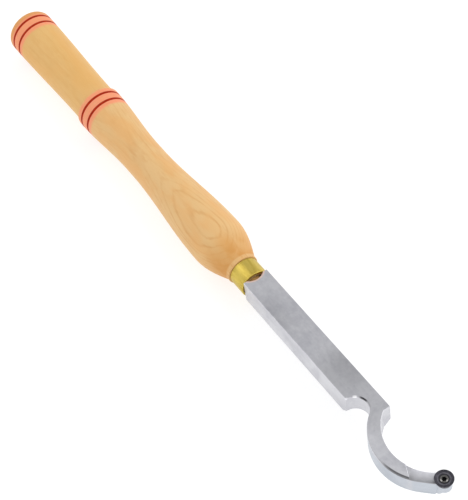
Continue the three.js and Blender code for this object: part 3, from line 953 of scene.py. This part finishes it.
def make_screw(settings):
    """The screw: a countersunk head with a star recess on a threaded shank."""
    sizes = settings.cutter
    top = SCREW_BOX[1].z
    bottom = SCREW_BOX[0].z
    head = (SCREW_BOX[1].x - SCREW_BOX[0].x) / 2
    shank = sizes.shank_radius
    rim = 0.25 * MM
    cone = (head - shank) * sizes.sink_depth / (sizes.sink_radius - sizes.hole_radius)
    drawn_in = 0.2
    recess = sizes.recess_radius
    floor = top - sizes.recess_depth
    rows = [
        (floor - 0.12 * MM, recess * 0.3, 0),
        (floor, recess * 0.93, drawn_in),
        (top - 0.12 * MM, recess, drawn_in),
        (top - 0.02 * MM, recess + 0.1 * MM, drawn_in * 0.8),
        (top, recess + 0.22 * MM, drawn_in * 0.4),
        (top, head - 0.16 * MM, 0),
        (top - 0.05 * MM, head - 0.04 * MM, 0),
        (top - 0.12 * MM, head, 0),
        (top - rim, head, 0),
        (top - rim - cone, shank, 0),
    ]
    turns = int((top - rim - cone - bottom - 0.4 * MM) / sizes.thread_pitch)
    for i in range(turns):
        height = top - rim - cone - (i + 0.5) * sizes.thread_pitch
        rows.append((height, shank - sizes.thread_depth, 0))
        rows.append((height - sizes.thread_pitch / 2, shank, 0))
    rows.append((bottom + 0.2 * MM, shank - 0.05 * MM, 0))
    rows.append((bottom, shank - 0.3 * MM, 0))
    bm = bmesh.new()
    loops = [loop_at(bm, height, radius, sizes.lobes, share) for height, radius, share in rows]
    for before, after in zip(loops, loops[1:]):
        bmesh.ops.bridge_loops(bm, edges=before + after)
    for ends in (loops[0], loops[-1]):
        bmesh.ops.edgeloop_fill(bm, edges=ends)
    bmesh.ops.recalc_face_normals(bm, faces=bm.faces)
    finish = screw_finish(sizes)
    piece_from(bm, "star_screw", finish, "screw", "cutter_screw", sharp_degrees=30)


def floor_finish(settings):
    """Plain pale floor with a barely seen grain."""
    pale = Finish("pale_floor")
    grain = pale.noise(pale.place, 900.0, 2.0, 0.5)
    tone = tuple(settings.floor)
    soft = tuple(0.985 * part for part in tone[:3]) + (1,)
    pale.set(Base_Color=pale.mix(grain, tone, soft))
    pale.set(Roughness=0.7 + grain * 0.2)
    pale.set(Normal=pale.bump(grain, 0.02 * MM, 0.2))
    pale.set(Specular_IOR_Level=0.2, Emission_Color=(1, 1, 1, 1), Emission_Strength=settings.glow)
    return pale.material


def make_floor(settings):
    bm = bmesh.new()
    bmesh.ops.create_grid(bm, x_segments=8, y_segments=8, size=settings.floor_size)
    mesh = bpy.data.meshes.new("floor")
    bm.to_mesh(mesh)
    bm.free()
    mesh.materials.append(floor_finish(settings))
    floor = bpy.data.objects.new("floor", mesh)
    bpy.context.scene.collection.objects.link(floor)


def softbox(name, place, sides, power):
    """A rectangular light that faces the ferrule."""
    data = bpy.data.lights.new(name, "AREA")
    data.shape = "RECTANGLE"
    data.size, data.size_y = sides
    data.energy = power
    light = bpy.data.objects.new(name, data)
    turn = (ORIGIN - Vector(place)).to_track_quat("-Z", "Y").to_matrix().to_4x4()
    light.matrix_world = Matrix.Translation(place) @ turn
    bpy.context.scene.collection.objects.link(light)


def make_sky(light):
    """Soft light from all round, a little brighter at the horizon than overhead."""
    world = bpy.data.worlds.new("studio")
    world.use_nodes = True
    nodes = world.node_tree.nodes
    links = world.node_tree.links
    direction = nodes.new("ShaderNodeTexCoord")
    split = nodes.new("ShaderNodeSeparateXYZ")
    ramp = nodes.new("ShaderNodeMapRange")
    ramp.inputs["From Min"].default_value = 0.0
    ramp.inputs["From Max"].default_value = OVERHEAD_FROM
    ramp.inputs["To Min"].default_value = HORIZON_SHARE * light
    ramp.inputs["To Max"].default_value = OVERHEAD_SHARE * light
    links.new(direction.outputs["Generated"], split.inputs[0])
    links.new(split.outputs["Z"], ramp.inputs["Value"])
    links.new(ramp.outputs["Result"], nodes["Background"].inputs["Strength"])
    nodes["Background"].inputs["Color"].default_value = SKY_COLOUR
    bpy.context.scene.world = world


def make_camera(settings):
    data = bpy.data.cameras.new("camera")
    data.sensor_fit = "AUTO"
    data.sensor_width = 36
    data.lens = settings.camera_lens
    data.clip_start = 0.01
    data.clip_end = 50
    camera = bpy.data.objects.new("camera", data)
    turn = Euler(settings.camera_turn, "XYZ").to_matrix().to_4x4()
    camera.matrix_world = Matrix.Translation(settings.camera_place) @ turn
    bpy.context.scene.collection.objects.link(camera)
    bpy.context.scene.camera = camera


class HOLLOWING_OT_stage(bpy.types.Operator):
    """Makes the floor, the lights and the camera"""

    bl_idname = "hollowing_tool.stage"
    bl_label = "Stage"

    def execute(self, context):
        stage = context.scene.hollowing_tool.stage
        context.scene.view_settings.view_transform = "Standard"
        make_floor(stage)
        make_sky(stage.sky)
        softbox("main_light", MAIN_LIGHT_PLACE, MAIN_LIGHT_SIDES, stage.main_light)
        softbox("fill_light", FILL_LIGHT_PLACE, FILL_LIGHT_SIDES, stage.fill_light)
        make_camera(stage)
        return {"FINISHED"}


class HOLLOWING_OT_handle(bpy.types.Operator):
    """Turns the wooden handle"""

    bl_idname = "hollowing_tool.handle"
    bl_label = "Handle"

    def execute(self, context):
        make_handle(context.scene.hollowing_tool)
        return {"FINISHED"}


class HOLLOWING_OT_rings(bpy.types.Operator):
    """Fills the handle's four grooves with red lacquer"""

    bl_idname = "hollowing_tool.rings"
    bl_label = "Lacquer rings"

    def execute(self, context):
        make_rings(context.scene.hollowing_tool)
        return {"FINISHED"}


class HOLLOWING_OT_ferrule(bpy.types.Operator):
    """Makes the brass ferrule and finishes the glue inside the handle"""

    bl_idname = "hollowing_tool.ferrule"
    bl_label = "Ferrule and glue"

    def execute(self, context):
        make_ferrule(context.scene.hollowing_tool)
        dress_glue(context.scene.hollowing_tool)
        return {"FINISHED"}


class HOLLOWING_OT_bar(bpy.types.Operator):
    """Grinds the steel bar and its hook"""

    bl_idname = "hollowing_tool.bar"
    bl_label = "Bar and hook"

    def execute(self, context):
        make_bar(context.scene.hollowing_tool)
        return {"FINISHED"}


class HOLLOWING_OT_cutter(bpy.types.Operator):
    """Makes the round cutter and its screw"""

    bl_idname = "hollowing_tool.cutter"
    bl_label = "Cutter and screw"

    def execute(self, context):
        make_cutter(context.scene.hollowing_tool)
        make_screw(context.scene.hollowing_tool)
        return {"FINISHED"}


OPERATORS = (
    HOLLOWING_OT_stage,
    HOLLOWING_OT_handle,
    HOLLOWING_OT_rings,
    HOLLOWING_OT_ferrule,
    HOLLOWING_OT_bar,
    HOLLOWING_OT_cutter,
)


class HOLLOWING_PT_panel(bpy.types.Panel):
    """Lists the tool's pieces in the 3D view's sidebar"""

    bl_idname = "HOLLOWING_PT_panel"
    bl_label = "Hollowing tool"
    bl_space_type = "VIEW_3D"
    bl_region_type = "UI"
    bl_category = "Hollowing tool"

    def draw(self, context):
        for operator in OPERATORS:
            self.layout.operator(operator.bl_idname)
        for name, group in context.scene.hollowing_tool.bl_rna.properties.items():
            if group.type == "POINTER" and name != "rna_type":
                self.draw_group(group.name, getattr(context.scene.hollowing_tool, name))

    def draw_group(self, title, group):
        box = self.layout.box()
        box.label(text=title)
        for name in group.bl_rna.properties.keys():
            if name not in ("rna_type", "name"):
                box.prop(group, name)


CLASSES = (
    HandleSizes,
    FerruleSizes,
    BarSizes,
    CutterSizes,
    StageSettings,
    HollowingToolSettings,
    *OPERATORS,
    HOLLOWING_PT_panel,
)


def register():
    for made in CLASSES:
        bpy.utils.register_class(made)
    bpy.types.Scene.hollowing_tool = PointerProperty(type=HollowingToolSettings)


def unregister():
    del bpy.types.Scene.hollowing_tool
    for made in reversed(CLASSES):
        bpy.utils.unregister_class(made)


def main():
    """Builds every piece."""
    register()
    bpy.ops.hollowing_tool.stage()
    bpy.ops.hollowing_tool.handle()
    bpy.ops.hollowing_tool.rings()
    bpy.ops.hollowing_tool.ferrule()
    bpy.ops.hollowing_tool.bar()
    bpy.ops.hollowing_tool.cutter()
    bpy.context.view_layer.update()


if __name__ == "__main__":
    main()
